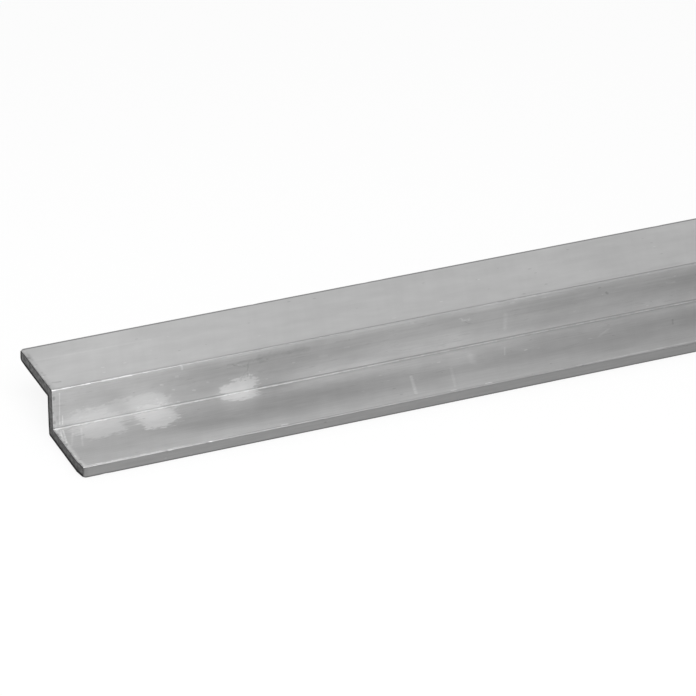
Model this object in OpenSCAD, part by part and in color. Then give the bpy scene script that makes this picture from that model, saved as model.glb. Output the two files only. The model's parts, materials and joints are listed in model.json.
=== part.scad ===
// Aluminium Z profile, extruded stock with a plain mill finish.
// One bar of constant section: a web, with one flange at its foot to the front
// and one at its head to the back. All sizes in millimetres.
// The bar lies along X on its bottom flange, with the middle of its footprint at the origin.

/* [Bar] */
// Length the bar is cut to
length = 1000; // [100:50:3000]

/* [Section] */
// Overall height, from the underside of the bottom flange to the top of the top flange
height = 9; // [8:0.5:30]
// Overall width of the top flange, from the front of the web to its rear edge
top_flange = 15; // [10:0.5:40]
// Overall width of the bottom flange, from the back of the web to its front edge
bottom_flange = 15; // [10:0.5:40]
// Thickness of the web and of both flanges
wall = 2; // [1.5:0.1:3]

/* [Edges] */
// Radius on the outer edges of the flanges and the bends
edge_radius = 0.3; // [0.2:0.05:0.7]
// Radius of the fillets in the two inside corners
root_radius = 0.3; // [0.2:0.05:0.7]

/* [Hidden] */
$fn = 64;

section_width = top_flange + bottom_flange - wall;
front_edge = -section_width / 2;
web_front = front_edge + bottom_flange - wall;
web_back = web_front + wall;
top_underside = height - wall;

// Flat strip with its four long edges rounded, from its lower front corner
module rounded_strip(width, thickness, radius) {
    translate([radius, 0])
        square([width - 2 * radius, thickness]);
    translate([0, radius])
        square([width, thickness - 2 * radius]);
    for (across = [radius, width - radius], up = [radius, thickness - radius])
        translate([across, up])
            circle(radius);
}

// Concave fillet in a corner at the origin, filling towards +X and +Y
module root_fillet(radius) {
    difference() {
        square(radius);
        translate([radius, radius])
            circle(radius);
    }
}

// Z section drawn across the bar: front to back along X, upwards along Y
module z_section() {
    translate([front_edge, 0])
        rounded_strip(bottom_flange, wall, edge_radius);
    translate([web_front, top_underside])
        rounded_strip(top_flange, wall, edge_radius);
    translate([web_front, wall / 2])
        square([wall, height - wall]);
    translate([web_front, wall])
        mirror([1, 0])
            root_fillet(root_radius);
    translate([web_back, top_underside])
        mirror([0, 1])
            root_fillet(root_radius);
}

module z_profile() {
    color("silver")
        translate([-length / 2, 0, 0])
            rotate([90, 0, 90])
                linear_extrude(length)
                    z_section();
}

z_profile();
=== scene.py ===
"""Aluminium Z profile: a bar of extruded stock with a plain mill finish, lying on its bottom flange."""
import json
import math

import bpy
import numpy as np
from mathutils import Matrix, Vector


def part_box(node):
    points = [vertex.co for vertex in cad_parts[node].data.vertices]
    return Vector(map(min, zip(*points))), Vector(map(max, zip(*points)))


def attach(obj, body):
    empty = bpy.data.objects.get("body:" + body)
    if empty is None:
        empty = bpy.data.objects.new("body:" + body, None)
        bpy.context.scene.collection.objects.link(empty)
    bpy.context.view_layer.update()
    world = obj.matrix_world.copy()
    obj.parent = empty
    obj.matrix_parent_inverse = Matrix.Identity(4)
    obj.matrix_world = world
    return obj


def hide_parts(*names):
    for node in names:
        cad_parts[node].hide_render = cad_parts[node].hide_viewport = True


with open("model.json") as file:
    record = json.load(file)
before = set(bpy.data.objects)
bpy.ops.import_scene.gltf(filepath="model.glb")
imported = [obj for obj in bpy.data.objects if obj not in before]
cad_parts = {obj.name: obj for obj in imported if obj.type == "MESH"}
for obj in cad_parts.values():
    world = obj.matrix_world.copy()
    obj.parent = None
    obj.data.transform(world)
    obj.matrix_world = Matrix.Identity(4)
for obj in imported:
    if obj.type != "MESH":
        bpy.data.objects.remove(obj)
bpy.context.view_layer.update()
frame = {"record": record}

# Sizes of the bar in metres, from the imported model
BAR = "z_profile"
LOW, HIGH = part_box(BAR)
MOUNTS = {mount["name"]: mount["pos_m"] for mount in frame["record"]["mounts"]}
LENGTH = HIGH.x - LOW.x
HEIGHT = HIGH.z
WALL = MOUNTS["front_ledge"][2]
WEB_FRONT = (LOW.y + HIGH.y - WALL) / 2
MM = 0.001
EDGE_RADIUS = 0.3 * MM
ROOT_RADIUS = 0.3 * MM

# Mesh of the bar: points along each stretch of the section, stations along it, sharp edges in degrees
FLAT_POINTS = 10
WEB_POINTS = 7
TIP_POINTS = 4
ARC_POINTS = 7
GUARD = 0.12 * MM
STATIONS = 960
CROWDING = 0.82
SHARP_ANGLE = 38.0

# Saw cut: how far its edge runs along the bar, and the waves that make it ragged
CUT_RUN = 0.12 * MM
RAGGED_SHARE = 0.5
RAGGED_WAVES = np.array([0.7, 1.3, 2.9]) * MM
RAGGED_SEED = 3

# Slant worn on the near end's front corner: depth, reach across the bar and along it, how it curves
WORN_DEPTH = 0.32 * MM
WORN_REACH = 2.6 * MM
WORN_LENGTH = 6.0 * MM
WORN_CURVE = 1.5

# Nicks along the outer edges: how far they stray from the edge, and the least and most of their sizes
NICK_COUNT = 260
NICK_SEED = 7
NICK_STRAY = 0.08 * MM
NICK_LONG_MM = (0.25, 1.1)
NICK_WIDE_MM = (0.12, 0.3)
NICK_DEEP_MM = (0.01, 0.07)

# Camera: turned about the bar to the photograph's viewpoint, looking at a point near the sawn end
VIEW_AZIMUTH = -23.23
VIEW_ELEVATION = 28.12
VIEW_ROLL = 0.15
VIEW_DISTANCE = 0.6792
AIM = Vector((LOW.x + 50.49 * MM, 0.0, 5.505 * MM))
LENS_MM = 219.4
SENSOR_MM = 36.0

# Girth positions round the skin, from the front of the ledge; half a turn on, they repeat
QUARTER = math.pi / 2
LEDGE = WEB_FRONT - ROOT_RADIUS - LOW.y - EDGE_RADIUS
WEB = HEIGHT - WALL - ROOT_RADIUS - EDGE_RADIUS
TOP = HIGH.y - WEB_FRONT - 2 * EDGE_RADIUS
TIP_FLAT = WALL - 2 * EDGE_RADIUS
V_ROOT = LEDGE + QUARTER * ROOT_RADIUS / 2
V_WEB = LEDGE + QUARTER * ROOT_RADIUS
V_BEND = V_WEB + WEB + QUARTER * EDGE_RADIUS / 2
V_TOP = V_WEB + WEB + QUARTER * EDGE_RADIUS
V_TIP_UPPER = V_TOP + TOP + QUARTER * EDGE_RADIUS / 2
V_TIP = V_TIP_UPPER + (QUARTER * EDGE_RADIUS + TIP_FLAT) / 2
V_TIP_LOWER = V_TIP + (QUARTER * EDGE_RADIUS + TIP_FLAT) / 2
HALF_GIRTH = V_TIP_LOWER + QUARTER * EDGE_RADIUS / 2


def on_ledge(along, from_corner):
    """Place on the ledge, by millimetres from the near end and from the inside corner."""
    return (along * MM, LEDGE + ROOT_RADIUS - from_corner * MM, 0.0)


def on_web(along, height):
    """Place on the front of the web, by millimetres from the near end and above the floor."""
    return (along * MM, V_WEB + height * MM - WALL - ROOT_RADIUS, 0.0)


def on_top(along, from_bend):
    """Place on the top flange, by millimetres from the near end and back from the front of the web."""
    return (along * MM, V_TOP + from_bend * MM - EDGE_RADIUS, 0.0)


# Edge of the saw cut by girth: depth of the bevel where the blade came in, negative where it left a burr
CUT_EDGE = (
    (0.0, 0.02 * MM),
    (V_TOP + TOP, 0.03 * MM),
    (V_TIP, 0.0),
    (HALF_GIRTH + 0.5 * MM, -0.06 * MM),
    (HALF_GIRTH + LEDGE, -0.07 * MM),
    (HALF_GIRTH + V_WEB, -0.20 * MM),
    (HALF_GIRTH + V_BEND - 1.0 * MM, -0.16 * MM),
    (HALF_GIRTH + V_BEND, 0.0),
    (HALF_GIRTH + V_TOP, 0.07 * MM),
    (2 * HALF_GIRTH, 0.02 * MM),
)

# Corners worn round at the near end: girth, reach along, reach across, depth
WORN_CORNERS = (
    (V_TIP_UPPER, 0.22 * MM, 0.42 * MM, 0.30 * MM),
    (V_TIP_LOWER, 0.22 * MM, 0.40 * MM, 0.20 * MM),
    (V_TIP_UPPER + HALF_GIRTH, 0.25 * MM, 0.42 * MM, 0.22 * MM),
)

# Finish: how light the metal is where bare, in the painted shade on the tips and at the foot, hazed over,
# sawn, and in the painted shade on the burr
SKIN_TONE = 0.58
TIP_SHADE_TONE = 0.265
FOOT_SHADE_TONE = 0.125
HAZE_TONE = 0.8
SAWN_TONE = 0.16
SAWN_SHADE_TONE = 0.025

# How rough the metal is, and the depth of the relief that only its shading shows
SKIN_ROUGH = (0.30, 0.37)
HAZE_ROUGH = 0.6
SAWN_ROUGH = 0.5
SAWN_TINT = (0.5, 0.5, 0.5, 1)
DIE_RELIEF = 0.003 * MM
SAWN_RELIEF = 0.015 * MM

# Lie of the marks: slant of cross rubs, length in the photograph, and where scattered marks take over
SLANT = 0.35
IN_VIEW = 112 * MM
OUT_OF_VIEW = IN_VIEW + 15 * MM

# Girth where the half turn starts that the edges are measured in, clear of every edge
SEAM = 1 * MM

# Noise on the skin: length and width of its grain in millimetres, and its detail
CLOUDS = (16, 5, 3.0)
DRAWN_LINES = (26, 0.45, 3.0)
DIE_LINES = (300, 0.15, 2.0)
CROSS_RUBS = (1.8, 16, 3.0)
BLOTCHES = (6, 2.2, 3.0)
DASHES = (6, 0.4, 4.0)
FLECKS = (2.6, 0.36, 4.0)
GRIT = (0.6, 0.3, 3.0)
BEND_STREAKS = (45, 0.55, 3.0)
LEDGE_CLOUDS = (22, 6, 3.0)
HIGHLIGHT_STRETCHES = (70, 30, 3.0)
HIGHLIGHT_BREAKS = (1.8, 8, 3.0)
HAZE_LUMPS = (3.2, 1.1, 4.0)
HAZE_CRUMBS = (1.1, 0.45, 3.0)
HAZE_STREAKS = (3.5, 0.4, 3.0)
HAZE_SPOTS = (26, 9, 4.0)
HAZE_BLOOM = (2.4, 0.8, 3.0)
SCUFF_LINES = (0.35, 6, 2.0)
SCUFFED_STRETCHES = (24, 8, 3.0)

# Part of the noise's own range that is spread from 0 to 1
NOISE_SPAN = (0.25, 0.75)

# Bare metal in the step and on the flange: painted light that fades along the bar from the near end, and
# its swing with each noise
STEP_FADE = (0.0, IN_VIEW, 1.0, 0.96)
FLANGE_FADE = (3 * MM, 52 * MM, 1.05, 0.95)
STEP_CLOUDING = (0.93, 1.07)
FLANGE_CLOUDING = (0.97, 1.03)
BLOTCHING = (0.97, 1.03)
STEP_STREAKING = (0.96, 1.03)
FLANGE_STREAKING = (0.985, 1.015)
RUBBING = (0.985, 1.015)

# Flecks in the step: where they lie across it, and the noise from which they and their clusters show
FLECKED = (V_ROOT, 6.0 * MM, 8.0 * MM)
FLECK_RISE = (0.72, 0.9)
CLUSTER_RISE = (0.45, 0.75)
FLECK_FACTOR = 0.9

# Bands along the bar, painted shade and light standing in for reflections: girth, half width and fade;
# where each sets in and weakens; how light or dark
UNDER_BEND = (on_web(0, 7.0)[1], 0.6 * MM, 2.2 * MM)
UNDER_BEND_SWING = (0.4, 1.0)
UNDER_BEND_START = (4 * MM, 30 * MM)
UNDER_BEND_FACTOR = 0.84
MID_LEDGE = (on_ledge(0, 6.2)[1], 0.8 * MM, 4.0 * MM)
MID_LEDGE_SWING = (0.2, 1.0)
MID_LEDGE_START = (3 * MM, 22 * MM)
MID_LEDGE_WEAKENS = (55 * MM, 75 * MM, 1.0, 0.5)
MID_LEDGE_FACTOR = 0.89
INTO_CORNER = (V_ROOT, 0.4 * MM, 4.0 * MM)
INTO_CORNER_START = (18 * MM, 50 * MM)
INTO_CORNER_WEAKENS = (65 * MM, 90 * MM, 1.0, 0.6)
INTO_CORNER_FACTOR = 1.12

# Painted highlight on the edges: reach from the ends, strength in stretches between, and how rubs break it
HIGHLIGHT_ENDS = (10 * MM, 34 * MM)
STRETCH_RISE = (0.55, 0.9)
STRETCH_HIGHLIGHT = 0.6
HIGHLIGHT_BREAKING = (0.15, 0.85, 0.35, 1.0)

# Painted shade on the tips and painted contact shade at the foot: girth, half width and fade, and how the
# tips are streaked and fade along the bar
TIP = (V_TIP, 0.5 * TIP_FLAT + 0.09 * MM, 0.5 * TIP_FLAT + 0.33 * MM)
TIP_STREAKING = (0.95, 1.05)
TIP_FADE = (0.0, IN_VIEW, 1.1, 0.98)
FOOT = (HALF_GIRTH + V_TIP_UPPER - 0.08 * MM, 0.24 * MM, 0.40 * MM)

# Painted lines of highlight and shade on the rounded edges and the root line: girth, half width and fade in
# millimetres, tone outside the painted highlight and within it
EDGES = (
    (V_BEND + 0.05 * MM, 0.12, 0.32, 0.44, 0.66),
    (V_TOP + 0.16 * MM, 0.06, 0.30, 0.545, 0.55),
    (V_TIP_UPPER - 0.22 * MM, 0.26, 0.42, 0.26, 0.26),
    (V_TIP_LOWER + 0.23 * MM, 0.07, 0.20, 0.54, 0.92),
    (V_ROOT - 0.15 * MM, 0.06, 0.25, 0.75, 0.54),
    (V_ROOT + 0.11 * MM, 0.05, 0.20, 0.37, 0.46),
)

# Broad areas painted lighter or darker, partly blotches in the metal and partly painted reflection and
# shade: middle, reach in millimetres, how much
AREAS = (
    (on_ledge(71.0, 5.5), (15.0, 9.0), 1.11),
    (on_ledge(35.0, 5.0), (9.0, 3.6), 0.93),
    (on_ledge(25.0, 12.5), (40.0, 3.4), 1.13),
    (on_web(25.0, 6.2), (6.5, 3.2), 0.90),
    (on_web(34.0, 3.4), (6.0, 2.2), 0.90),
    (on_web(55.0, 7.0), (8.0, 3.0), 0.95),
    (on_web(2.5, 7.2), (6.0, 3.6), 0.94),
    (on_web(96.0, 8.7), (28.0, 1.2), 0.90),
    (on_web(92.0, 8.15), (24.0, 0.5), 1.10),
    (on_web(76.0, 3.5), (10.0, 1.4), 0.89),
    (on_web(106.0, 4.4), (9.0, 2.0), 0.93),
    (on_ledge(99.0, 5.0), (14.0, 4.0), 1.05),
    (on_top(2.0, 12.8), (6.0, 3.4), 0.90),
    (on_top(106.0, 8.0), (14.0, 11.0), 0.97),
)
AREA_RAGGED = 0.3
AREA_SOFT = 0.6

# Whitish haze in the inside corner: middle, reach in millimetres, strength
HAZE = (
    (on_web(10.2, 2.6), (9.0, 2.1), 0.40),
    (on_web(15.2, 3.7), (4.2, 1.7), 0.42),
    (on_ledge(7.6, 1.7), (4.9, 3.5), 0.62),
    (on_ledge(16.3, 2.3), (3.5, 3.7), 0.84),
    (on_ledge(31.2, 0.0), (3.1, 2.5), 0.84),
)
HAZE_RAGGED = 0.95
HAZE_SOFT = 0.16
HAZE_CRUMBLING = 0.45
HAZE_SWING = (0.82, 1.08)

# Streaky break in the haze, haze past the photograph, and the root line's painted highlight, clearer and
# broken by rubs
HAZE_BREAK = (on_ledge(12.1, 2.6), (1.5, 1.7))
HAZE_BREAK_SOFT = 0.4
HAZE_BREAK_RISE = (0.3, 0.6)
FAR_HAZE = (V_ROOT, 1.0 * MM, 5.5 * MM)
FAR_HAZE_RISE = (0.74, 0.86)
FAR_HAZE_STRENGTH = 0.8
ROOT_HAZE = (V_ROOT - 0.05 * MM, 0.2 * MM, 0.4 * MM, 0.4, 1.0)
ROOT_LINE = (V_ROOT - 0.1 * MM, 0.1 * MM, 0.3 * MM)
ROOT_BREAK_RISE = (0.35, 0.65)
ROOT_BREAK_FACTOR = 0.90

# Scratches and rubs, and a few painted glints on the edges' highlights: start, end, half width in
# millimetres, how much lighter or darker
SCRATCHES = (
    (on_ledge(58.6, 5.7), on_ledge(57.0, 11.2), 0.45, 1.28),
    (on_ledge(65.6, 5.8), on_ledge(63.7, 11.5), 0.40, 1.14),
    (on_ledge(1.0, 0.7), on_ledge(0.5, 2.6), 0.22, 1.40),
    (on_ledge(1.35, 0.7), on_ledge(0.6, 4.6), 0.22, 1.45),
    (on_ledge(2.5, 2.0), on_ledge(0.9, 6.0), 0.25, 1.12),
    (on_ledge(4.2, 1.2), on_ledge(2.5, 6.6), 0.25, 1.14),
    (on_ledge(70.4, 2.8), on_ledge(69.6, 5.4), 0.90, 1.14),
    (on_ledge(76.6, 2.6), on_ledge(75.4, 5.0), 0.22, 1.22),
    (on_ledge(95.0, 3.4), on_ledge(92.2, 5.2), 0.35, 1.16),
    (on_ledge(106.0, 4.6), on_ledge(105.3, 6.0), 0.25, 0.72),
    (on_web(1.22, 8.3), on_web(1.1, 2.8), 0.16, 1.30),
    (on_web(1.62, 4.2), on_web(1.55, 2.7), 0.16, 1.35),
    (on_web(0.5, 8.0), on_web(0.5, 2.6), 0.28, 1.06),
    (on_web(20.6, 7.1), on_web(20.9, 7.1), 0.26, 1.25),
    (on_web(18.0, 6.2), on_web(18.4, 6.1), 0.26, 1.25),
    (on_web(23.4, 4.1), on_web(23.8, 4.0), 0.22, 1.22),
    (on_web(21.5, 9.0), on_web(21.7, 8.2), 0.30, 1.30),
    (on_web(20.0, 4.9), on_web(20.3, 4.8), 0.22, 1.22),
    (on_web(20.8, 2.6), on_web(21.1, 2.5), 0.24, 1.25),
    (on_web(25.8, 5.0), on_web(26.1, 4.9), 0.20, 1.20),
    (on_web(45.2, 5.6), on_web(46.4, 5.5), 0.34, 1.10),
    (on_web(49.5, 6.3), on_web(50.2, 6.3), 0.26, 1.12),
    (on_web(78.7, 8.4), on_web(79.3, 8.4), 0.22, 1.16),
    (on_web(84.3, 8.2), on_web(85.0, 8.2), 0.20, 1.14),
    (on_ledge(64.4, 3.2), on_ledge(64.8, 3.1), 0.22, 1.38),
    (on_ledge(79.1, 4.8), on_ledge(79.5, 4.7), 0.24, 1.36),
    (on_ledge(90.4, 5.3), on_ledge(90.9, 5.3), 0.22, 1.24),
    # Painted glints on the highlight of the ledge's front edge, and one just under the bend
    (on_ledge(68.7, 12.6), on_ledge(69.5, 12.6), 0.34, 1.55),
    (on_ledge(62.6, 12.6), on_ledge(63.4, 12.6), 0.28, 1.42),
    (on_ledge(33.5, 12.5), on_ledge(34.4, 12.5), 0.28, 1.40),
    (on_web(61.0, 8.4), on_web(61.5, 8.3), 0.24, 1.20),
    (on_top(58.5, 1.5), on_top(59.0, 1.5), 0.24, 1.16),
    (on_web(77.8, 6.4), on_web(77.8, 4.0), 0.60, 1.14),
    (on_web(96.0, 6.8), on_web(96.2, 6.6), 0.30, 0.60),
    (on_web(107.0, 6.4), on_web(108.6, 6.2), 0.22, 1.22),
    (on_top(0.4, 10.3), on_top(20.0, 9.9), 0.45, 1.07),
    (on_top(1.0, 2.4), on_top(2.2, 2.2), 0.32, 0.72),
    (on_top(0.46, 6.1), on_top(0.5, 6.0), 0.30, 0.68),
    (on_top(0.55, 12.6), on_top(0.5, 10.4), 0.40, 0.84),
)

# Jagged cracks in the skin, written as the scratches are
CRACKS = (
    (on_web(30.4, 7.2), on_web(32.8, 6.3), 0.18, 0.84),
    (on_web(32.9, 6.9), on_web(32.6, 4.4), 0.18, 0.78),
    (on_web(33.2, 5.2), on_web(33.0, 4.2), 0.14, 1.25),
    (on_web(29.4, 7.3), on_web(36.0, 7.1), 0.22, 0.84),
    (on_web(34.8, 7.6), on_web(43.0, 7.4), 0.75, 0.85),
    (on_web(31.2, 7.1), on_web(32.4, 6.3), 0.12, 1.18),
    (on_web(32.4, 5.6), on_web(31.5, 4.1), 0.14, 0.84),
    (on_web(34.4, 7.2), on_web(35.6, 6.6), 0.40, 0.86),
    (on_web(69.6, 7.2), on_web(71.4, 7.0), 0.22, 1.25),
    (on_web(70.6, 6.7), on_web(71.7, 6.2), 0.16, 0.76),
)

# Noise that shakes marks, how far it shakes scratches and cracks, a mark's full core, its faintest stretch
SHAKE = {"Scale": 1 / (1.1 * MM), "Detail": 2.0}
SCRATCH_SWING = 0.15 * MM
CRACK_SWING = 1.2 * MM
SCRATCH_CORE = 0.1
SCRATCH_FAINT = 0.45

# Scuffs past the photograph: the noise from which they and their stretches show, and how light they are
SCUFF_RISE = (0.8, 0.95)
SCUFFED_RISE = (0.5, 0.8)
SCUFF_FACTOR = 1.2

# Specks on the skin and chips at the saw cut: cells, dark or light by a drawn number, depth or reach
SPECK = {"Grain": (4.5 * MM, 2.0 * MM, 1), "Share": 0.22, "Size": 0.1}
SPECK_DRAW = (0.4, 0.6)
SPECK_FACTORS = (0.8, 1.16)
SPECK_PIT = 1.2
CHIP = {"Grain": (0.7 * MM, 0.9 * MM, 1), "Share": 0.5, "Size": 0.6}
CHIP_DRAW = (0.5, 0.7)
CHIP_FACTORS = (0.7, 1.2)
CHIP_REACH = (0.3 * MM, 1.1 * MM)

# Least size of a speck as a share of the most, and its full core as a share of its size
LEAST_SPECK = 0.4
SPECK_CORE = 0.4

# Skin beside the saw cut: a strip lighter on the ledge and darker on the flanges, and a lip of painted
# shade that is darkest where the blade came out
CUT_BLEND = 0.2 * MM
CUT_STRIP_REACH = (0.4 * MM, 1.0 * MM)
CUT_STRIP_LEDGE = 1.22
CUT_STRIP_FLANGE = 0.9
CUT_STRIP_WEB = 0.98
LIP_REACH = (0.08 * MM, 0.28 * MM)
LIP_IN = (0.5, 0.74)
LIP_IN_WEB = 0.34
LIP_IN_FLANGE = 0.16
LIP_OUT = 0.1

# Sawn face: arcs and mottle, darker low down, painted black shade along its foot, its rear and the burr
# behind the web, and darker under the upper edges
BLADE_CENTRE = (-70 * MM, -90 * MM, 0.0)
ARCS = {"Grain": (0.22 * MM, 1, 1), "Detail": 2.0}
MOTTLE = {"Grain": (0.9 * MM, 0.6 * MM, 1), "Detail": 3.0}
MOTTLE_SWING = (0.6, 1.4)
ARC_SWING = (0.88, 1.12)
LOW_DOWN = (1.5 * MM, 3.0 * MM, 0.86, 1.0)
SHADE_FOOT = (0.4 * MM, 0.7 * MM)
SHADE_REAR = (HIGH.y - 0.9 * MM, HIGH.y - 0.5 * MM)
SHADE_BEHIND = (WEB_FRONT + WALL - 0.6 * MM, WEB_FRONT + WALL - 0.25 * MM)
SHADE_UNDER = (HEIGHT - WALL + 0.3 * MM, HEIGHT - WALL + 0.6 * MM)
RIM_LEDGE = (WALL - 0.5 * MM, WALL - 0.15 * MM)
RIM_WEB = (WEB_FRONT - 0.6 * MM, WEB_FRONT - 0.2 * MM)
RIM_TOP = (HEIGHT - 0.5 * MM, HEIGHT - 0.15 * MM)
RIM_FACTOR = 0.6

# Stage: floor, light from all round by side, and lamps by direction, distance, size and brightness
FLOOR_RADIUS = 30.0
FLOOR_POINTS = 96
FLOOR_TONE = 0.95
FLOOR_WHITE = 0.8
WORLD_RIGHT_BACK_ABOVE = (0.3, 1.05, 0.5)
WORLD_LEFT_FRONT_BELOW = (0.4, 0.35, 0.0)
LAMPS = (
    ("softbox_above", (-0.12, -0.30, 0.52), 0.6, (0.6, 0.5), 3.05),
    ("softbox_front", (0.35, -0.81, 0.47), 1.3, (0.8, 0.8), 0.72),
)


# Shape of the bar

def arc(centre, radius, start, end):
    """Points on a circle about centre, turning evenly from start to end degrees."""
    turn = np.radians(np.linspace(start, end, ARC_POINTS))
    return np.column_stack([centre[0] + radius * np.cos(turn), centre[1] + radius * np.sin(turn)])


def flat(start, end, count):
    """Points on a straight line, even but for one close to each end that keeps the flat's shading flat."""
    start, end = np.array(start), np.array(end)
    guard = GUARD / np.linalg.norm(end - start)
    share = np.concatenate([[0.0], np.linspace(guard, 1.0 - guard, count - 2), [1.0]])
    return start + share[:, None] * (end - start)


def joined(*stretches):
    """Stretches end to end, each after the first without the point it shares with the one before."""
    return np.concatenate([stretches[0]] + [stretch[1:] for stretch in stretches[1:]])


def upper_side():
    """Upper side of the section from front to back: ledge, root fillet, web, bend and top."""
    r, root = EDGE_RADIUS, ROOT_RADIUS
    return joined(
        flat((LOW.y + r, WALL), (WEB_FRONT - root, WALL), FLAT_POINTS),
        arc((WEB_FRONT - root, WALL + root), root, -90, 0),
        flat((WEB_FRONT, WALL + root), (WEB_FRONT, HEIGHT - r), WEB_POINTS),
        arc((WEB_FRONT + r, HEIGHT - r), r, 180, 90),
        flat((WEB_FRONT + r, HEIGHT), (HIGH.y - r, HEIGHT), FLAT_POINTS),
    )


def rear_edge():
    """Rounded edge of the top flange, from its top round to its underside."""
    r = EDGE_RADIUS
    return joined(
        arc((HIGH.y - r, HEIGHT - r), r, 90, 0),
        flat((HIGH.y, HEIGHT - r), (HIGH.y, HEIGHT - WALL + r), TIP_POINTS),
        arc((HIGH.y - r, HEIGHT - WALL + r), r, 0, -90),
    )


def half_turn(points):
    """The section is its own image after half a turn about its middle, so one half gives the other."""
    return np.array([LOW.y + HIGH.y, HEIGHT]) - points


def outline_normals(outline):
    """Outward unit normals of a closed outline that runs clockwise, across each point's two neighbours."""
    run = np.roll(outline, -1, 0) - np.roll(outline, 1, 0)
    normal = np.column_stack([-run[:, 1], run[:, 0]])
    return normal / np.linalg.norm(normal, axis=1)[:, None]


def stations():
    """Places along the bar: an even run bent by a sine, so that they crowd towards both sawn ends."""
    share = np.linspace(0.0, 1.0, STATIONS)
    share = share - CROWDING * np.sin(2 * np.pi * share) / (2 * np.pi)
    close = np.array([CUT_RUN, 2 * CUT_RUN])
    inner = share[1:-1] * LENGTH
    inner = inner[(inner > 3 * CUT_RUN) & (inner < LENGTH - 3 * CUT_RUN)]
    return LOW.x + np.concatenate([[0.0], close, inner, LENGTH - close[::-1], [LENGTH]])


def waves(t, seed, lengths):
    """Smooth unevenness along t: sines of the given wavelengths with drawn phases, from about -1 to 1."""
    phase = np.random.default_rng(seed).uniform(0, 2 * np.pi, len(lengths))
    return sum(np.sin(2 * np.pi * t / length + p) for length, p in zip(lengths, phase)) / len(lengths)


def dents(x, girth):
    """Depth at each station and outline point: nicks on the outer edges, worn corners at the near end."""
    draw = np.random.default_rng(NICK_SEED)
    edges = np.array([V_BEND, V_TIP_UPPER, V_TIP_LOWER])
    edges = np.concatenate([edges, edges + HALF_GIRTH])
    nicks = np.column_stack([
        draw.uniform(LOW.x, HIGH.x, NICK_COUNT),
        draw.choice(edges, NICK_COUNT) + draw.normal(0, NICK_STRAY, NICK_COUNT),
        draw.uniform(*NICK_LONG_MM, NICK_COUNT) * MM,
        draw.uniform(*NICK_WIDE_MM, NICK_COUNT) * MM,
        draw.uniform(*NICK_DEEP_MM, NICK_COUNT) * MM,
    ])
    worn = np.array([(LOW.x, *corner) for corner in WORN_CORNERS])
    place, edge, long, wide, deep = np.concatenate([nicks, worn]).T
    along = np.exp(-((x[:, None] - place) / long) ** 2)
    across = np.exp(-((girth[:, None] - edge) / wide) ** 2) * deep
    return along @ across.T


def skin_grid(outline):
    """The section carried along the bar, pushed in by dents, saw cut and wear; its girths and stations."""
    normal = outline_normals(outline)
    step = np.linalg.norm(np.roll(outline, -1, 0) - outline, axis=1)
    girth = np.concatenate([[0.0], np.cumsum(step)[:-1]])
    x = stations()
    from_end = np.minimum(x - LOW.x, HIGH.x - x)
    ragged = 1.0 + RAGGED_SHARE * waves(girth, RAGGED_SEED, RAGGED_WAVES)
    cut = np.interp(girth, *np.array(CUT_EDGE).T) * ragged
    depth = dents(x, girth) + np.clip(1.0 - from_end / CUT_RUN, 0.0, 1.0)[:, None] * cut
    section = outline[None] - depth[..., None] * normal[None]
    grid = np.concatenate([np.broadcast_to(x[:, None, None], depth.shape + (1,)), section], -1)
    wear = np.clip((LOW.y + WORN_REACH - section[..., 0]) / WORN_REACH, 0.0, 1.0) ** WORN_CURVE
    fade = np.clip(1.0 - (x - LOW.x) / WORN_LENGTH, 0.0, 1.0)[:, None]
    grid[..., 0] += WORN_DEPTH * wear * fade
    return grid, girth, x


def coons(bottom, top, left, right):
    """Grid filling four edges: the sum of both ruled surfaces, less the one through the four corners."""
    s = np.linspace(0, 1, len(bottom))[:, None, None]
    t = np.linspace(0, 1, len(left))[None, :, None]
    ruled = (1 - t) * bottom[:, None] + t * top[:, None] + (1 - s) * left[None] + s * right[None]
    corners = ((1 - s) * (1 - t) * bottom[0] + s * (1 - t) * bottom[-1]
               + (1 - s) * t * top[0] + s * t * top[-1])
    return ruled - corners


def quads(index):
    """Faces of a grid of vertex numbers, one for each cell."""
    return np.stack([index[:-1, :-1], index[1:, :-1], index[1:, 1:], index[:-1, 1:]], -1).reshape(-1, 4)


def bar_mesh():
    """Points of the bar, its faces as skin, near end and far end, and the skin's girths and stations."""
    upper, rear = upper_side(), rear_edge()
    half = np.concatenate([upper, rear[1:-1]])
    outline = np.concatenate([half, half_turn(half)])
    grid, girth, x = skin_grid(outline)
    ring = np.arange(len(outline))
    skin = np.arange(len(x))[:, None] * len(outline) + np.append(ring, 0)
    points = [grid.reshape(-1, 3)]
    faces = [quads(skin)]

    # Each sawn face is a grid inside the outline, whose own points are its rim
    count, across = len(upper), len(rear)
    inside = (count - 2) * (across - 2)
    total = len(points[0])
    cap = np.zeros((count, across), int)
    for station in (0, len(x) - 1):
        base = station * len(outline)
        cap[:, -1] = base + ring[:count]
        cap[-1, -2:0:-1] = base + ring[count:len(half)]
        cap[::-1, 0] = base + ring[len(half):len(half) + count]
        cap[0, 1:-1] = base + ring[len(half) + count:]
        cap[1:-1, 1:-1] = total + np.arange(inside).reshape(count - 2, across - 2)
        rims = (cap[:, 0], cap[:, -1], cap[0], cap[-1])
        filled = coons(*(points[0][rim] for rim in rims))
        points.append(filled[1:-1, 1:-1].reshape(-1, 3))
        face = quads(cap)
        faces.append(face[:, ::-1] if station == 0 else face)
        total += inside
    return np.concatenate(points), faces, girth, x


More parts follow.
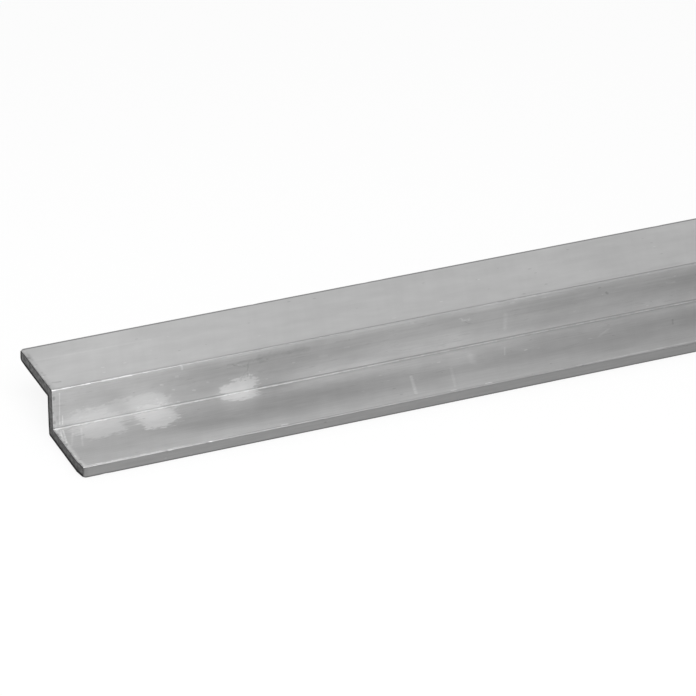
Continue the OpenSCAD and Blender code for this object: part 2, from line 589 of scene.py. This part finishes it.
def make_bar():
    """The bar as one mesh: skin, then the two sawn faces, with a UV map of length and girth in metres."""
    points, faces, girth, x = bar_mesh()
    mesh = bpy.data.meshes.new("z_bar")
    mesh.from_pydata(points, [], np.concatenate(faces).tolist())
    slot = np.repeat([0, 1], [len(faces[0]), len(faces[1]) + len(faces[2])]).astype(np.int32)
    mesh.polygons.foreach_set("material_index", slot)
    mesh.polygons.foreach_set("use_smooth", np.ones(len(mesh.polygons), bool))

    around = np.append(girth, girth[-1] + np.linalg.norm(points[0, 1:] - points[len(girth) - 1, 1:]))
    u, v = np.meshgrid(x - LOW.x, around, indexing="ij")
    place = np.stack([u, v], -1).reshape(-1, 2)
    own = quads(np.arange(len(place)).reshape(len(x), len(around)))
    skin_uv = place[own.ravel()]
    sawn_uv = points[np.concatenate(faces[1:]).ravel(), 1:]
    layer = mesh.uv_layers.new(name="lay")
    layer.data.foreach_set("uv", np.concatenate([skin_uv, sawn_uv]).astype(np.float32).ravel())

    mesh.validate()
    mesh.update()
    mesh.set_sharp_from_angle(angle=math.radians(SHARP_ANGLE))
    bar = bpy.data.objects.new("z_bar", mesh)
    bpy.context.collection.objects.link(bar)
    return bar


# Shader nodes

def feed(tree, socket, value):
    """Sets a socket to a plain value, or links an output to it."""
    if isinstance(value, bpy.types.NodeSocket):
        tree.links.new(value, socket)
    else:
        socket.default_value = value


def node(tree, kind, settings=None, **inputs):
    """Adds a shader node with its settings, and feeds the named inputs."""
    made = tree.nodes.new("ShaderNode" + kind)
    for name, value in (settings or {}).items():
        setattr(made, name, value)
    for name, value in inputs.items():
        feed(tree, made.inputs[name.replace("_", " ")], value)
    return made


def maths(tree, operation, *values, clamp=False):
    """One step of arithmetic on values, as an output."""
    made = node(tree, "Math", {"operation": operation, "use_clamp": clamp})
    for socket, value in zip(made.inputs, values):
        feed(tree, socket, value)
    return made.outputs[0]


def vectors(tree, operation, *values):
    """One step of vector arithmetic, as an output: a value for a length or dot product, else a vector."""
    made = node(tree, "VectorMath", {"operation": operation})
    sockets = [made.inputs[0], made.inputs["Scale"]] if operation == "SCALE" else made.inputs
    for socket, value in zip(sockets, values):
        feed(tree, socket, value)
    return made.outputs["Value" if operation in ("LENGTH", "DOT_PRODUCT") else "Vector"]


def between(tree, share, first, second):
    """first where share is 0, second where it is 1."""
    made = node(tree, "Mix", {"data_type": "FLOAT", "clamp_factor": True})
    for socket, value in zip((made.inputs[0], made.inputs[2], made.inputs[3]), (share, first, second)):
        feed(tree, socket, value)
    return made.outputs[0]


def ramp(tree, value, start, end, low=0.0, high=1.0):
    """Smooth step of a value: low up to start, high from end on."""
    made = node(tree, "MapRange", {"interpolation_type": "SMOOTHSTEP", "clamp": True})
    for socket, number in zip(made.inputs, (value, start, end, low, high)):
        feed(tree, socket, number)
    return made.outputs[0]


def within(tree, value, inner, outer):
    """1 up to an inner value, falling smoothly to 0 at an outer one."""
    return ramp(tree, value, inner, outer, 1.0, 0.0)


def near(tree, value, middle, inner, outer, inside=1.0, outside=0.0):
    """The inside value within inner of a middle, going smoothly to the outside value at outer."""
    gap = maths(tree, "ABSOLUTE", maths(tree, "SUBTRACT", value, middle))
    return ramp(tree, gap, inner, outer, inside, outside)


def product(tree, *values):
    """Values multiplied together."""
    made = values[0]
    for value in values[1:]:
        made = maths(tree, "MULTIPLY", made, value)
    return made


def span(tree, along, around):
    """Length of a step along and around the bar: the root of the sum of their squares."""
    square = maths(tree, "MULTIPLY_ADD", around, around, maths(tree, "MULTIPLY", along, along))
    return maths(tree, "SQRT", square)


# Node groups

def new_group(name, inputs, outputs):
    """An empty node group with named sockets, and its input and output nodes."""
    tree = bpy.data.node_groups.new(name, "ShaderNodeTree")
    for side, sockets in (("INPUT", inputs), ("OUTPUT", outputs)):
        for label, kind in sockets.items():
            tree.interface.new_socket(label, in_out=side, socket_type="NodeSocket" + kind)
    return tree, tree.nodes.new("NodeGroupInput").outputs, tree.nodes.new("NodeGroupOutput").inputs


def on_group(tree, group, **inputs):
    """Puts a node group in a tree with its inputs fed, and gives its outputs."""
    return node(tree, "Group", {"node_tree": group}, **inputs).outputs


def streaks_group():
    """Streaks: smooth noise on the place divided by a grain length and a grain width, from 0 to 1."""
    tree, given, out = new_group(
        "streaks",
        {"Place": "Vector", "Grain": "Vector", "Detail": "Float"},
        {"Value": "Float"})
    scaled = vectors(tree, "DIVIDE", given["Place"], given["Grain"])
    noise = node(tree, "TexNoise", {"noise_dimensions": "3D"},
                 Vector=scaled, Scale=1.0, Detail=given["Detail"])
    feed(tree, out["Value"], ramp(tree, noise.outputs[0], *NOISE_SPAN))
    return tree


def patch_group():
    """Patch: 1 inside an oval about a middle, its rim moved in and out by a ragged value, 0 outside."""
    tree, given, out = new_group(
        "patch",
        {"Along": "Float", "Around": "Float", "Middle": "Vector", "Reach": "Vector",
         "Ragged": "Float", "Soft": "Float"},
        {"Mask": "Float"})
    middle = node(tree, "SeparateXYZ", Vector=given["Middle"]).outputs
    reach = node(tree, "SeparateXYZ", Vector=given["Reach"]).outputs
    along = maths(tree, "DIVIDE", maths(tree, "SUBTRACT", given["Along"], middle[0]), reach[0])
    around = maths(tree, "DIVIDE", maths(tree, "SUBTRACT", given["Around"], middle[1]), reach[1])
    rim = maths(tree, "ADD", span(tree, along, around), given["Ragged"])
    inner = maths(tree, "SUBTRACT", 1.0, given["Soft"])
    outer = maths(tree, "ADD", 1.0, given["Soft"])
    feed(tree, out["Mask"], within(tree, rim, inner, outer))
    return tree


def scratch_group():
    """Scratch: 1 on the line from a start to an end, 0 at a width to each side, broken by grit."""
    tree, given, out = new_group(
        "scratch",
        {"Along": "Float", "Around": "Float", "Start": "Vector", "End": "Vector",
         "Width": "Float", "Grit": "Float"},
        {"Mask": "Float"})
    start = node(tree, "SeparateXYZ", Vector=given["Start"]).outputs
    way = vectors(tree, "SUBTRACT", given["End"], given["Start"])
    run = node(tree, "SeparateXYZ", Vector=way).outputs
    square = maths(tree, "MULTIPLY_ADD", run[1], run[1], maths(tree, "MULTIPLY", run[0], run[0]))
    along = maths(tree, "SUBTRACT", given["Along"], start[0])
    around = maths(tree, "SUBTRACT", given["Around"], start[1])
    reached = maths(tree, "MULTIPLY_ADD", around, run[1], maths(tree, "MULTIPLY", along, run[0]))
    share = maths(tree, "DIVIDE", reached, square, clamp=True)
    away = span(tree, maths(tree, "SUBTRACT", along, maths(tree, "MULTIPLY", run[0], share)),
                maths(tree, "SUBTRACT", around, maths(tree, "MULTIPLY", run[1], share)))
    line = within(tree, maths(tree, "DIVIDE", away, given["Width"]), SCRATCH_CORE, 1.0)
    broken = between(tree, given["Grit"], SCRATCH_FAINT, 1.0)
    feed(tree, out["Mask"], maths(tree, "MULTIPLY", line, broken))
    return tree


def specks_group():
    """Specks: small ovals in a share of the cells, one to a cell, and a drawn number for each."""
    tree, given, out = new_group(
        "specks",
        {"Place": "Vector", "Grain": "Vector", "Share": "Float", "Size": "Float"},
        {"Mask": "Float", "Draw": "Float"})
    scaled = vectors(tree, "DIVIDE", given["Place"], given["Grain"])
    cells = node(tree, "TexVoronoi", {"voronoi_dimensions": "2D"}, Vector=scaled, Scale=1.0)
    pick, draw, fat = node(tree, "SeparateXYZ", Vector=cells.outputs["Color"]).outputs
    size = maths(tree, "MULTIPLY", given["Size"], between(tree, fat, LEAST_SPECK, 1.0))
    inside = within(tree, cells.outputs["Distance"], maths(tree, "MULTIPLY", size, SPECK_CORE), size)
    picked = maths(tree, "LESS_THAN", pick, given["Share"])
    feed(tree, out["Mask"], maths(tree, "MULTIPLY", inside, picked))
    feed(tree, out["Draw"], draw)
    return tree


# Materials

def new_material(name):
    """An empty node material and its tree."""
    material = bpy.data.materials.new(name)
    material.use_nodes = True
    material.node_tree.nodes.clear()
    return material, material.node_tree


def finish_material(tree, **inputs):
    """Ends a material in one shader with its inputs fed."""
    shader = node(tree, "BsdfPrincipled", **inputs)
    tree.links.new(shader.outputs[0], node(tree, "OutputMaterial").inputs["Surface"])


class Skin:
    """The skin's tree: where a point lies, in metres along the bar and round it, and shared noise."""

    def __init__(self, tree, streaks, patch, scratch, specks):
        self.tree = tree
        self.streaks, self.patch, self.scratch, self.specks = streaks, patch, scratch, specks
        self.place = node(tree, "UVMap", {"uv_map": "lay"}).outputs[0]
        self.u, self.v = node(tree, "SeparateXYZ", Vector=self.place).outputs[:2]
        slid = maths(tree, "SUBTRACT", self.u, maths(tree, "MULTIPLY", self.v, SLANT))
        self.slanted = node(tree, "CombineXYZ", X=slid, Y=self.v).outputs[0]
        self.half = maths(tree, "FLOORED_MODULO", self.v, HALF_GIRTH)
        self.edgewise = maths(tree, "WRAP", self.v, HALF_GIRTH + SEAM, SEAM)
        self.from_end = maths(tree, "MINIMUM", self.u, maths(tree, "SUBTRACT", LENGTH, self.u))
        self.unseen = ramp(tree, self.u, IN_VIEW, OUT_OF_VIEW)
        self.clouds = self.noise(CLOUDS)
        self.drawn = self.noise(DRAWN_LINES)
        self.die = self.noise(DIE_LINES)
        self.rubs = self.noise(CROSS_RUBS, slanted=True)
        self.blotches = self.noise(BLOTCHES)
        self.dashes = self.noise(DASHES)
        self.flecks = self.noise(FLECKS)
        self.grit = self.noise(GRIT)
        self.flange = ramp(tree, self.half, V_BEND, V_TOP)

    def noise(self, pattern, slanted=False):
        """Noise of a pattern, from 0 to 1, straight along the bar or slanted."""
        long, wide, detail = pattern
        place = self.slanted if slanted else self.place
        grain = (long * MM, wide * MM, 1)
        return on_group(self.tree, self.streaks, Place=place, Grain=grain, Detail=detail)[0]

    def oval(self, middle, reach, ragged, soft):
        """An oval patch with a ragged rim, its reach in millimetres."""
        return on_group(self.tree, self.patch, Along=self.u, Around=self.v, Middle=middle,
                        Reach=(reach[0] * MM, reach[1] * MM, 1), Ragged=ragged, Soft=soft)[0]

    def toned(self, tone, mask, factor):
        """A tone multiplied by a factor where a mask is 1."""
        return maths(self.tree, "MULTIPLY", tone, between(self.tree, mask, 1.0, factor))


def bare_metal(skin):
    """Tone of bare metal: painted light towards the near end, blotchy and streaky, and flecked in the step.
    """
    tree, flange = skin.tree, skin.flange
    # Painted light, brighter towards the near end where the lamps are aimed
    faded = between(tree, flange, ramp(tree, skin.u, *STEP_FADE), ramp(tree, skin.u, *FLANGE_FADE))
    clouded = between(tree, flange, between(tree, skin.clouds, *STEP_CLOUDING),
                      between(tree, skin.clouds, *FLANGE_CLOUDING))
    clouded = maths(tree, "MULTIPLY", clouded, between(tree, skin.blotches, *BLOTCHING))
    streaked = between(tree, flange, between(tree, skin.dashes, *STEP_STREAKING),
                       between(tree, skin.drawn, *FLANGE_STREAKING))
    tone = product(tree, SKIN_TONE, faded, clouded, streaked, between(tree, skin.rubs, *RUBBING))
    step = near(tree, skin.half, *FLECKED)
    flecked = product(tree, ramp(tree, skin.flecks, *FLECK_RISE),
                      ramp(tree, skin.blotches, *CLUSTER_RISE), step)
    return skin.toned(tone, flecked, FLECK_FACTOR)


def with_bands(skin, tone):
    """Painted bands of shade and light from reflections, streaky under the bend, cloudy on the ledge and
    light into the corner, and broad areas.
    """
    tree, u, half = skin.tree, skin.u, skin.half
    # Painted shade under the bend and across the ledge, and painted light into the corner, where
    # reflections fall
    under_bend = product(tree, near(tree, half, *UNDER_BEND),
                         between(tree, skin.noise(BEND_STREAKS), *UNDER_BEND_SWING),
                         ramp(tree, u, *UNDER_BEND_START))
    tone = skin.toned(tone, under_bend, UNDER_BEND_FACTOR)
    mid_ledge = product(tree, near(tree, half, *MID_LEDGE),
                        between(tree, skin.noise(LEDGE_CLOUDS), *MID_LEDGE_SWING),
                        ramp(tree, u, *MID_LEDGE_START), ramp(tree, u, *MID_LEDGE_WEAKENS))
    tone = skin.toned(tone, mid_ledge, MID_LEDGE_FACTOR)
    into_corner = product(tree, near(tree, half, *INTO_CORNER),
                          ramp(tree, u, *INTO_CORNER_START), ramp(tree, u, *INTO_CORNER_WEAKENS))
    tone = skin.toned(tone, into_corner, INTO_CORNER_FACTOR)
    # Broad areas: partly blotches in the metal, partly painted reflection and shade
    for middle, reach, factor in AREAS:
        ragged = maths(tree, "MULTIPLY", skin.blotches, AREA_RAGGED)
        tone = skin.toned(tone, skin.oval(middle, reach, ragged, AREA_SOFT), factor)
    return tone


def with_edges(skin, tone):
    """Edges: painted lines of highlight and shade, brightest near the sawn ends and in stretches, with
    painted shade on the tips and the foot.
    """
    tree = skin.tree
    # Painted highlight: full near the sawn ends, weaker in stretches, broken by rubs
    stretch = ramp(tree, skin.noise(HIGHLIGHT_STRETCHES), *STRETCH_RISE)
    stretch = maths(tree, "MULTIPLY", stretch, STRETCH_HIGHLIGHT)
    edge_highlight = maths(tree, "MAXIMUM", within(tree, skin.from_end, *HIGHLIGHT_ENDS), stretch)
    edge_highlight = maths(tree, "MULTIPLY", edge_highlight, ramp(tree, skin.noise(HIGHLIGHT_BREAKS), *HIGHLIGHT_BREAKING))
    # Painted shade darkens the tips
    tip = near(tree, skin.edgewise, *TIP)
    tip_shade = product(tree, TIP_SHADE_TONE, between(tree, skin.dashes, *TIP_STREAKING),
                       ramp(tree, skin.u, *TIP_FADE))
    tone = between(tree, tip, tone, tip_shade)
    # Painted lines of highlight and shade along the rounded edges and the root
    for edge, inner, outer, dull, bright in EDGES:
        line = near(tree, skin.edgewise, edge, inner * MM, outer * MM)
        tone = between(tree, line, tone, between(tree, edge_highlight, dull, bright))
    # Painted contact shade along the foot, where the bar meets the floor
    return between(tree, near(tree, skin.v, *FOOT), tone, FOOT_SHADE_TONE)


def corner_haze(skin):
    """Share of haze: ragged patches with a streaky break, spots past the photograph, thin on the root."""
    tree = skin.tree
    ragged = between(tree, HAZE_CRUMBLING, skin.noise(HAZE_LUMPS), skin.noise(HAZE_CRUMBS))
    ragged = maths(tree, "SUBTRACT", ragged, 0.5)
    haze = 0.0
    for middle, reach, strength in HAZE:
        spot = skin.oval(middle, reach, maths(tree, "MULTIPLY", ragged, HAZE_RAGGED), HAZE_SOFT)
        haze = maths(tree, "MAXIMUM", haze, maths(tree, "MULTIPLY", spot, strength))
    gap = skin.oval(*HAZE_BREAK, ragged, HAZE_BREAK_SOFT)
    gap = maths(tree, "MULTIPLY", gap, ramp(tree, skin.noise(HAZE_STREAKS), *HAZE_BREAK_RISE))
    haze = maths(tree, "MULTIPLY", haze, maths(tree, "SUBTRACT", 1.0, gap))
    spots = ramp(tree, skin.noise(HAZE_SPOTS), *FAR_HAZE_RISE)
    spots = product(tree, spots, near(tree, skin.half, *FAR_HAZE), skin.unseen, FAR_HAZE_STRENGTH)
    haze = maths(tree, "MAXIMUM", haze, spots)
    haze = maths(tree, "MULTIPLY", haze, between(tree, skin.noise(HAZE_BLOOM), *HAZE_SWING))
    return maths(tree, "MULTIPLY", haze, near(tree, skin.half, *ROOT_HAZE))


def with_haze(skin, tone, rough):
    """Tone and roughness under the haze, with the root line's painted highlight broken by cross rubs."""
    tree = skin.tree
    haze = corner_haze(skin)
    tone = between(tree, haze, tone, HAZE_TONE)
    # Rubs break the painted highlight on the root line
    breaks = product(tree, near(tree, skin.half, *ROOT_LINE), ramp(tree, skin.rubs, *ROOT_BREAK_RISE))
    tone = skin.toned(tone, breaks, ROOT_BREAK_FACTOR)
    return tone, between(tree, haze, rough, HAZE_ROUGH)


def with_scratches(skin, tone):
    """Scratches, shaken a little by noise, and cracks, shaken a lot."""
    tree = skin.tree
    shake = node(tree, "TexNoise", Vector=skin.slanted, **SHAKE).outputs["Color"]
    shake = node(tree, "SeparateColor", Color=shake).outputs
    for marks, swing in ((SCRATCHES, SCRATCH_SWING), (CRACKS, CRACK_SWING)):
        along = maths(tree, "MULTIPLY_ADD", maths(tree, "SUBTRACT", shake[0], 0.5), swing, skin.u)
        around = maths(tree, "MULTIPLY_ADD", maths(tree, "SUBTRACT", shake[1], 0.5), swing, skin.v)
        for start, end, width, factor in marks:
            line = on_group(tree, skin.scratch, Along=along, Around=around, Start=start, End=end,
                            Width=width * MM, Grit=skin.grit)[0]
            tone = skin.toned(tone, line, factor)
    return tone


def with_specks(skin, tone):
    """Scuffs past the photograph and specks on all the skin: the tone, and the specks' mask."""
    tree = skin.tree
    scuffs = product(tree, ramp(tree, skin.noise(SCUFF_LINES, slanted=True), *SCUFF_RISE),
                     ramp(tree, skin.noise(SCUFFED_STRETCHES), *SCUFFED_RISE), skin.unseen)
    tone = skin.toned(tone, scuffs, SCUFF_FACTOR)
    speck, draw = on_group(tree, skin.specks, Place=skin.place, **SPECK)
    factor = between(tree, ramp(tree, draw, *SPECK_DRAW), *SPECK_FACTORS)
    return skin.toned(tone, speck, factor), speck


def with_saw_cut(skin, tone):
    """Beside the saw cut: chips, a strip lighter on the ledge and darker on the flanges, and a lip of
    painted shade, darkest where the blade came out.
    """
    tree, from_end = skin.tree, skin.from_end
    under = (V_TOP + TOP) / 2
    exit_side = near(tree, skin.v, HALF_GIRTH + under, under, under + CUT_BLEND)
    chip, draw = on_group(tree, skin.specks, Place=skin.place, **CHIP)
    chip = maths(tree, "MULTIPLY", chip, within(tree, from_end, *CHIP_REACH))
    tone = skin.toned(tone, chip, between(tree, ramp(tree, draw, *CHIP_DRAW), *CHIP_FACTORS))
    cut_strip = within(tree, from_end, *CUT_STRIP_REACH)
    web = near(tree, skin.half, V_WEB + WEB / 2, WEB / 2, WEB / 2 + CUT_BLEND)
    flats = between(tree, skin.flange, CUT_STRIP_LEDGE, CUT_STRIP_FLANGE)
    tone = skin.toned(tone, cut_strip, between(tree, web, flats, CUT_STRIP_WEB))
    # The lip is painted shade along the cut, darkest where the blade came out
    lip = within(tree, from_end, *LIP_REACH)
    entry = maths(tree, "MULTIPLY_ADD", web, LIP_IN_WEB, between(tree, skin.grit, *LIP_IN))
    entry = maths(tree, "MULTIPLY_ADD", skin.flange, LIP_IN_FLANGE, entry)
    return skin.toned(tone, lip, between(tree, exit_side, entry, LIP_OUT))


def mill_skin(streaks, patch, scratch, specks):
    """Mill finish: grey metal, streaked along the bar, with painted bands of shade and light, painted
    highlight and shade on the edges, hazy in the corner.
    """
    material, tree = new_material("mill_skin")
    skin = Skin(tree, streaks, patch, scratch, specks)
    tone = bare_metal(skin)
    rough = between(tree, skin.drawn, *SKIN_ROUGH)
    tone = with_bands(skin, tone)
    tone = with_edges(skin, tone)
    tone, rough = with_haze(skin, tone, rough)
    tone = with_scratches(skin, tone)
    tone, speck = with_specks(skin, tone)
    tone = with_saw_cut(skin, tone)
    height = maths(tree, "SUBTRACT", skin.die, maths(tree, "MULTIPLY", speck, SPECK_PIT))
    bump = node(tree, "Bump", Strength=1.0, Distance=DIE_RELIEF, Height=height)
    finish_material(tree, Base_Color=tone, Metallic=1.0, Roughness=rough, Normal=bump.outputs[0])
    return material


def sawn_face(streaks):
    """Sawn face: dull dark metal, mottled, with the blade's arcs, and painted black shade on its foot, its
    rear and behind the web, where the blade came out.
    """
    material, tree = new_material("sawn_face")
    place = node(tree, "UVMap", {"uv_map": "lay"}).outputs[0]
    y, z = node(tree, "SeparateXYZ", Vector=place).outputs[:2]
    away = vectors(tree, "LENGTH", vectors(tree, "SUBTRACT", place, BLADE_CENTRE))
    swept = node(tree, "CombineXYZ", X=away).outputs[0]
    arcs = on_group(tree, streaks, Place=swept, **ARCS)[0]
    mottle = on_group(tree, streaks, Place=place, **MOTTLE)[0]
    tone = product(tree, SAWN_TONE, between(tree, mottle, *MOTTLE_SWING), between(tree, arcs, *ARC_SWING),
                   ramp(tree, z, *LOW_DOWN))
    # Painted black shade along the foot and the rear, and behind the web under the top flange
    foot = within(tree, z, *SHADE_FOOT)
    rear = ramp(tree, y, *SHADE_REAR)
    behind = ramp(tree, y, *SHADE_BEHIND)
    under = within(tree, z, *SHADE_UNDER)
    edge_shade = maths(tree, "MAXIMUM", foot, rear)
    edge_shade = maths(tree, "MAXIMUM", edge_shade, maths(tree, "MINIMUM", behind, under))
    tone = between(tree, edge_shade, tone, SAWN_SHADE_TONE)
    over_ledge = maths(tree, "MINIMUM", ramp(tree, z, *RIM_LEDGE), within(tree, y, *RIM_WEB))
    rim = maths(tree, "MAXIMUM", over_ledge, ramp(tree, z, *RIM_TOP))
    tone = maths(tree, "MULTIPLY", tone, between(tree, rim, 1.0, RIM_FACTOR))
    relief = maths(tree, "ADD", arcs, mottle)
    bump = node(tree, "Bump", Strength=1.0, Distance=SAWN_RELIEF, Height=relief)
    finish_material(tree, Base_Color=tone, Metallic=1.0, Roughness=SAWN_ROUGH, Specular_Tint=SAWN_TINT,
                    Normal=bump.outputs[0])
    return material


# Stage: floor, light and camera

def make_floor():
    """A wide white disc under the bar: mostly plain white to the eye, the rest takes light and shadow."""
    turn = np.linspace(0, 2 * np.pi, FLOOR_POINTS + 1)[:-1]
    points = FLOOR_RADIUS * np.column_stack([np.cos(turn), np.sin(turn), np.zeros(FLOOR_POINTS)])
    mesh = bpy.data.meshes.new("floor")
    mesh.from_pydata(points, [], [list(range(FLOOR_POINTS))])
    floor = bpy.data.objects.new("floor", mesh)
    bpy.context.collection.objects.link(floor)
    material, tree = new_material("floor_white")
    paper = node(tree, "BsdfDiffuse", Color=(FLOOR_TONE, FLOOR_TONE, FLOOR_TONE, 1))
    white = node(tree, "Emission", Color=(1, 1, 1, 1), Strength=1.0)
    path = node(tree, "LightPath").outputs
    seen = maths(tree, "ADD", path["Is Camera Ray"], path["Is Glossy Ray"])
    seen = maths(tree, "ADD", seen, path["Is Transmission Ray"], clamp=True)
    mixed = node(tree, "MixShader", Fac=maths(tree, "MULTIPLY", seen, FLOOR_WHITE))
    tree.links.new(paper.outputs[0], mixed.inputs[1])
    tree.links.new(white.outputs[0], mixed.inputs[2])
    tree.links.new(mixed.outputs[0], node(tree, "OutputMaterial").inputs["Surface"])
    mesh.materials.append(material)


def make_lamp(name, direction, distance, size, radiance):
    """A soft lamp, aimed at the near end from a direction; its power gives the brightness of its face."""
    lamp = bpy.data.lights.new(name, "AREA")
    lamp.shape = "RECTANGLE"
    lamp.size, lamp.size_y = size
    lamp.energy = radiance * math.pi * size[0] * size[1]
    holder = bpy.data.objects.new(name, lamp)
    target = Vector((LOW.x, 0, 0))
    holder.location = target + Vector(direction).normalized() * distance
    holder.rotation_euler = (target - holder.location).to_track_quat("-Z", "Y").to_euler()
    holder.visible_camera = False
    bpy.context.collection.objects.link(holder)


def make_world():
    """Light from all round: a direction's share along each axis, squared, times that side's strength."""
    world = bpy.data.worlds.new("studio")
    world.use_nodes = True
    tree = world.node_tree
    tree.nodes.clear()
    direction = node(tree, "TexCoord").outputs["Generated"]
    strength = 0.0
    for sides, sign in ((WORLD_RIGHT_BACK_ABOVE, 1.0), (WORLD_LEFT_FRONT_BELOW, -1.0)):
        share = vectors(tree, "MAXIMUM", vectors(tree, "SCALE", direction, sign), (0, 0, 0))
        light = vectors(tree, "DOT_PRODUCT", vectors(tree, "MULTIPLY", share, share), sides)
        strength = maths(tree, "ADD", strength, light)
    light = node(tree, "Background", Color=(1, 1, 1, 1), Strength=strength)
    tree.links.new(light.outputs[0], node(tree, "OutputWorld").inputs["Surface"])
    bpy.context.scene.world = world


def make_camera():
    """The camera at the photograph's viewpoint."""
    turn, rise = math.radians(VIEW_AZIMUTH), math.radians(VIEW_ELEVATION)
    back = Vector((math.sin(turn) * math.cos(rise), -math.cos(turn) * math.cos(rise), math.sin(rise)))
    data = bpy.data.cameras.new("camera")
    data.lens, data.sensor_width = LENS_MM, SENSOR_MM
    camera = bpy.data.objects.new("camera", data)
    level = (-back).to_track_quat("-Z", "Y").to_matrix().to_4x4()
    roll = Matrix.Rotation(math.radians(VIEW_ROLL), 4, "Z")
    camera.matrix_world = Matrix.Translation(AIM + back * VIEW_DISTANCE) @ level @ roll
    bpy.context.collection.objects.link(camera)
    bpy.context.scene.camera = camera


streaks = streaks_group()
bar = make_bar()
bar.data.materials.append(mill_skin(streaks, patch_group(), scratch_group(), specks_group()))
bar.data.materials.append(sawn_face(streaks))
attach(bar, "root")
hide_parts(BAR)

make_floor()
make_world()
for lamp in LAMPS:
    make_lamp(*lamp)
make_camera()
bpy.context.scene.view_settings.view_transform = "Standard"
